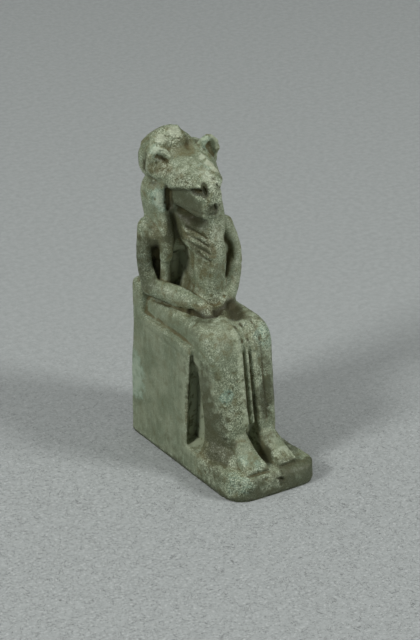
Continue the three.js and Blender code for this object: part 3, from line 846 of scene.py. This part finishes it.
class Graph:
    """Adds and links shader nodes in few words."""

    def __init__(self, name):
        self.material = bpy.data.materials.new(name)
        self.material.use_nodes = True
        self.tree = self.material.node_tree
        self.shader = self.tree.nodes["Principled BSDF"]

    def add(self, kind, values=(), **settings):
        node = self.tree.nodes.new(kind)
        for key, value in settings.items():
            setattr(node, key, value)
        for key, value in dict(values).items():
            self.put(node.inputs[key], value)
        return node

    def put(self, socket, value):
        """Links the value to the socket, or sets the socket where the value is plain."""
        if isinstance(value, bpy.types.NodeSocket):
            self.tree.links.new(value, socket)
        else:
            socket.default_value = value

    def math(self, operation, a, b=0.0):
        return self.add("ShaderNodeMath", {0: a, 1: b}, operation=operation).outputs[0]

    def plus(self, a, b):
        return self.math("ADD", a, b)

    def times(self, a, b):
        return self.math("MULTIPLY", a, b)

    def ramp(self, value, low, high, to_low=0.0, to_high=1.0):
        """A smooth change from to_low to to_high while the value goes from low to high."""
        values = {"Value": value, "From Min": low, "From Max": high, "To Min": to_low, "To Max": to_high}
        return self.add("ShaderNodeMapRange", values, interpolation_type="SMOOTHSTEP").outputs[0]

    def mix(self, share, under, over):
        """The colour under, covered to a share by the colour over. Plain colours are screen values."""
        under, over = (linear(colour) if isinstance(colour, tuple) else colour for colour in (under, over))
        return self.add("ShaderNodeMix", {0: share, 6: under, 7: over}, data_type="RGBA").outputs[2]

    def noise(self, where, size, detail=3.0, rough=0.55, distortion=0.0):
        values = {"Vector": where, "Scale": 1 / size, "Detail": detail}
        values |= {"Roughness": rough, "Distortion": distortion}
        return self.add("ShaderNodeTexNoise", values).outputs[0]

    def attribute(self, name):
        return self.add("ShaderNodeAttribute", attribute_name=name).outputs["Fac"]

    def millimetres(self):
        place = self.add("ShaderNodeTexCoord").outputs["Object"]
        return self.add("ShaderNodeVectorMath", {0: place, "Scale": 1 / MM}, operation="SCALE").outputs[0]

    def stretched(self, where, scale):
        return self.add("ShaderNodeVectorMath", {0: where, 1: scale}, operation="MULTIPLY").outputs[0]


def linear(colour):
    """The colour that Blender works with, from screen values of 0 to 255."""
    shares = (c / 255 / 12.92 if c <= 10 else ((c / 255 + 0.055) / 1.055) ** 2.4 for c in colour)
    return (*shares, 1)


# Colours as screen values, 0 to 255
GLAZE = (123, 134, 107)
LIGHT_GLAZE = (143, 152, 125)
STREAK = (168, 180, 152)
BROWN_MOTTLE = (112, 108, 68)
PALE_MOTTLE = (164, 178, 156)
TURQUOISE_TINT = (146, 178, 160)
BROWN_TINT = (104, 98, 60)
BRIGHT_SPECK = (212, 222, 192)
DARK_SPECK = (62, 66, 42)
PALE_STAIN_AND_LIGHT = (208, 216, 190)
DARK_STAIN_AND_SHADE = (70, 74, 50)
DIRT_AND_SHADE = (96, 88, 52)
SHELTERED_DIRT_AND_SHADE = (92, 92, 62)
BARE_RIDGE = (186, 196, 166)
GROOVE_DIRT_AND_SHADE = (56, 54, 32)
THRONE_SHADE = (62, 72, 54)

# Sizes of the patterns in the glaze, from the largest to the finest
BLOTCH_SIZE = 3.5
MOTTLE_SIZE = 1.0
STREAK_SIZE = 0.9
GRAIN_SIZE = 0.17
FINE_GRAIN_SIZE = 0.14
STREAK_STRETCH = (1.6, 1.6, 0.35)
BUMP_HEIGHT = 0.08


class Faience:
    """The worn glaze. tinted, specked, dirtied and lined each lay one kind of wear over the colour; dirtied
    also lays painted light and shade, and lined painted shade.
    """

    def __init__(self):
        self.g = Graph("worn_faience")
        g = self.g
        where = g.millimetres()
        self.hollow = g.attribute("hollow")
        self.broad_hollow = g.attribute("broad_hollow")
        self.shelter = g.attribute("shelter")
        self.grainy = g.attribute("grainy")
        self.groove = g.attribute("groove")
        self.ridge = g.attribute("ridge")
        self.stain_light_and_shade = g.attribute("stain_light_and_shade")
        self.speckle = g.attribute("speckle")
        self.tint = g.attribute("tint")
        self.blotch = g.noise(where, BLOTCH_SIZE, 3.0, 0.55)
        self.mottle = g.noise(where, MOTTLE_SIZE, 4.0, 0.6, 0.3)
        self.streak = g.noise(g.stretched(where, STREAK_STRETCH), STREAK_SIZE, 3.0, 0.6)
        self.grain = g.noise(where, GRAIN_SIZE, 2.0, 0.6)
        self.fine_grain = g.noise(where, FINE_GRAIN_SIZE, 2.0, 0.7)
        self.dirt_and_shade = self.dirt_and_shade_share()

    def dirt_and_shade_share(self):
        """How much grime and painted shade lie in hollows and sheltered places."""
        g = self.g
        dirt_and_shade = g.plus(g.ramp(self.hollow, 0.01, 0.09, 0, 0.8), g.ramp(self.broad_hollow, 0.1, 0.5, 0, 0.5))
        dirt_and_shade = g.plus(dirt_and_shade, g.ramp(self.shelter, 0.3, 0.75, 0, 0.7))
        return g.times(dirt_and_shade, g.ramp(self.mottle, 0.3, 0.6, 0.6, 1.1))

    def glaze(self):
        """Green-grey in soft blotches, with upright streaks and a mottle that is calmer on the throne."""
        g = self.g
        colour = g.mix(g.ramp(self.blotch, 0.4, 0.6), GLAZE, LIGHT_GLAZE)
        colour = g.mix(g.ramp(self.streak, 0.45, 0.7, 0, 0.35), colour, STREAK)
        brown = g.times(g.ramp(self.mottle, 0.5, 0.34, 0, 0.6), g.ramp(self.grainy, 0.0, 1.0, 0.4, 1.0))
        colour = g.mix(brown, colour, BROWN_MOTTLE)
        pale = g.times(g.ramp(self.mottle, 0.55, 0.7, 0, 0.4), g.ramp(self.grainy, 0.25, 1.0, 0.35, 1.0))
        return g.mix(pale, colour, PALE_MOTTLE)

    def tinted(self, colour):
        """Turquoise where the tint is above 0, and brown where it is below."""
        g = self.g
        ragged = g.plus(self.tint, g.ramp(self.mottle, 0.35, 0.65, -0.3, 0.3))
        colour = g.mix(g.ramp(ragged, 0.15, 1.0, 0, 0.6), colour, TURQUOISE_TINT)
        return g.mix(g.ramp(ragged, -0.15, -1.0, 0, 0.6), colour, BROWN_TINT)

    def specked(self, colour):
        """Bright specks, most in speckled patches and on raised places, and dark specks between them."""
        g = self.g
        share = g.ramp(g.plus(g.times(self.speckle, 0.2), self.mottle), 0.44, 0.76, 0.1, 0.85)
        share = g.times(share, g.times(self.grainy, g.ramp(self.speckle, -1.0, 0.0, 0.2, 1.0)))
        raised = g.ramp(self.hollow, 0.0, -0.07)
        share = g.math("MAXIMUM", share, g.times(raised, g.ramp(self.mottle, 0.4, 0.6, 0.1, 0.8)))
        colour = g.mix(g.times(g.ramp(self.grain, 0.53, 0.61), share), colour, BRIGHT_SPECK)
        share = g.times(g.ramp(self.speckle, -0.6, 1.0, 0.28, 0.75), self.grainy)
        return g.mix(g.times(g.ramp(self.grain, 0.46, 0.37), share), colour, DARK_SPECK)

    def dirtied_and_shaded(self, colour):
        """Pale and dark stains with painted light and shade among them, and the grime and painted shade of
        hollows and sheltered places.
        """
        g = self.g
        ragged = g.plus(self.stain_light_and_shade, g.ramp(self.mottle, 0.35, 0.65, 0.2, -0.2))
        # Painted light among the pale stains: in the hollow beside the wig, on the collar and on the left
        # arm
        colour = g.mix(g.ramp(ragged, -0.1, -1.0, 0, 0.5), colour, PALE_STAIN_AND_LIGHT)
        # Grime and painted shade in hollows and sheltered places
        colour = g.mix(g.ramp(self.dirt_and_shade, 0.15, 1.0, 0, 0.85), colour, DIRT_AND_SHADE)
        # Painted shade: darker where the figure blocks more of the view round a point
        colour = g.mix(g.ramp(self.shelter, 0.5, 0.9, 0, 0.6), colour, SHELTERED_DIRT_AND_SHADE)
        # Painted shade among the dark stains: on the cheeks, below the jaw, on the right arm and shin and in
        # the recess beside it
        return g.mix(g.ramp(ragged, 0.1, 1.0, 0, 0.78), colour, DARK_STAIN_AND_SHADE)

    def lined(self, colour):
        """Bare ridges, and grooves darkened by grime and painted shade, along the carved lines, and the
        darker faces of the throne.
        """
        g = self.g
        bare = g.times(self.ridge, g.ramp(self.mottle, 0.35, 0.6, 0.3, 1.0))
        colour = g.mix(g.ramp(bare, 0.1, 0.7, 0, 0.65), colour, BARE_RIDGE)
        colour = g.mix(g.ramp(self.groove, 0.15, 0.8, 0, 0.8), colour, GROOVE_DIRT_AND_SHADE)
        return g.mix(g.ramp(self.grainy, 1.0, 0.25, 0, 0.16), colour, THRONE_SHADE)

    def roughness(self):
        g = self.g
        return g.plus(g.ramp(self.grain, 0.3, 0.7, 0.7, 0.45), g.times(self.dirt_and_shade, 0.2))

    def bump(self):
        """A fine grain, weaker on the throne's faces and on smooth patches."""
        g = self.g
        height = g.plus(g.times(self.grain, 0.7), g.times(self.fine_grain, 0.3))
        open_skin = g.ramp(self.grainy, 0.0, 1.0, 0.45, 1.0)
        open_skin = g.times(open_skin, g.ramp(self.speckle, -1.0, 0.6, 0.35, 1.1))
        values = {"Strength": 1.0, "Distance": BUMP_HEIGHT * MM, "Height": g.times(height, open_skin)}
        return g.add("ShaderNodeBump", values).outputs[0]

    def material(self):
        g = self.g
        colour = self.lined(self.dirtied_and_shaded(self.specked(self.tinted(self.glaze()))))
        g.put(g.shader.inputs["Base Color"], colour)
        g.put(g.shader.inputs["Roughness"], self.roughness())
        g.put(g.shader.inputs["Specular IOR Level"], 0.45)
        g.put(g.shader.inputs["Normal"], self.bump())
        return g.material


FLOOR_DEEP = (170, 175, 173)
FLOOR_LIGHT = (182, 187, 185)
DARK_FLECK = (134, 138, 136)
PALE_FLECK = (208, 212, 210)
FIBRE = (100, 102, 100)

FLOOR_GRAIN_SIZE = 0.9
FLECK_SIZE = 0.35
FIBRE_SIZE = 1.6

# The flecks fade along a level direction that leads away from the photograph's viewpoint
FADE_DIRECTION = (0.54, 0.84, 0.0)
FADE_START = -15.0
FADE_END = 50.0
FAR_SHARE = 0.12


def floor_material():
    """A pale grey sheet with fine flecks and fibres that are clear in front and fade towards the back."""
    g = Graph("floor")
    where = g.millimetres()
    grain = g.noise(where, FLOOR_GRAIN_SIZE, 4.0, 0.7)
    fleck = g.noise(where, FLECK_SIZE, 2.0, 0.6)
    # A fibre runs where this noise passes its middle
    fibre = g.math("ABSOLUTE", g.math("SUBTRACT", g.noise(where, FIBRE_SIZE, 4.0, 0.65, 0.8), 0.5))
    along = g.add("ShaderNodeVectorMath", {0: where, 1: FADE_DIRECTION}, operation="DOT_PRODUCT")
    clear = g.ramp(along.outputs["Value"], FADE_START, FADE_END, 1.0, FAR_SHARE)
    colour = g.mix(g.ramp(grain, 0.3, 0.7), FLOOR_DEEP, FLOOR_LIGHT)
    colour = g.mix(g.times(clear, g.ramp(fleck, 0.42, 0.32, 0, 0.7)), colour, DARK_FLECK)
    colour = g.mix(g.times(clear, g.ramp(fleck, 0.56, 0.68, 0, 0.7)), colour, PALE_FLECK)
    colour = g.mix(g.times(clear, g.ramp(fibre, 0.012, 0.004, 0, 0.65)), colour, FIBRE)
    g.put(g.shader.inputs["Base Color"], colour)
    g.put(g.shader.inputs["Roughness"], 0.85)
    g.put(g.shader.inputs["Specular IOR Level"], 0.2)
    return g.material


# Floor and light, in metres and watts

FLOOR_REACH = 1.5
LIGHTS_AIM_AT = (0, 0, 0.02)

Light = namedtuple("Light", "name place size power")
LIGHTS = (
    Light("overhead", (0.0, 0.08, 0.5), 0.8, 0.95),
    Light("left_softbox", (-0.45, -0.045, 0.36), 0.15, 1.52),
    Light("right_softbox", (0.285, -0.375, 0.36), 0.15, 1.42),
)
SKY_COLOUR = (0.94, 0.97, 1, 1)
SKY_STRENGTH = 0.04


def add_floor():
    mesh = bpy.data.meshes.new("floor")
    corners = [(x * FLOOR_REACH, y * FLOOR_REACH, 0) for x, y in ((-1, -1), (1, -1), (1, 1), (-1, 1))]
    mesh.from_pydata(corners, [], [(0, 1, 2, 3)])
    mesh.materials.append(floor_material())
    floor = bpy.data.objects.new("floor", mesh)
    bpy.context.collection.objects.link(floor)


def add_light(light):
    data = bpy.data.lights.new(light.name, "AREA")
    data.shape = "DISK"
    data.size = light.size
    data.energy = light.power
    lamp = bpy.data.objects.new(light.name, data)
    lamp.location = light.place
    aim = Vector(LIGHTS_AIM_AT) - Vector(light.place)
    lamp.rotation_euler = aim.to_track_quat("-Z", "Y").to_euler()
    bpy.context.collection.objects.link(lamp)


def add_sky():
    world = bpy.data.worlds.new("studio")
    world.use_nodes = True
    background = world.node_tree.nodes["Background"]
    background.inputs["Color"].default_value = SKY_COLOUR
    background.inputs["Strength"].default_value = SKY_STRENGTH
    bpy.context.scene.world = world


add_camera()
figure = sculpt()
figure.data.materials.append(Faience().material())
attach(figure, "root")
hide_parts(NODE)
add_floor()
for light in LIGHTS:
    add_light(light)
add_sky()
bpy.context.scene.view_settings.view_transform = "Standard"
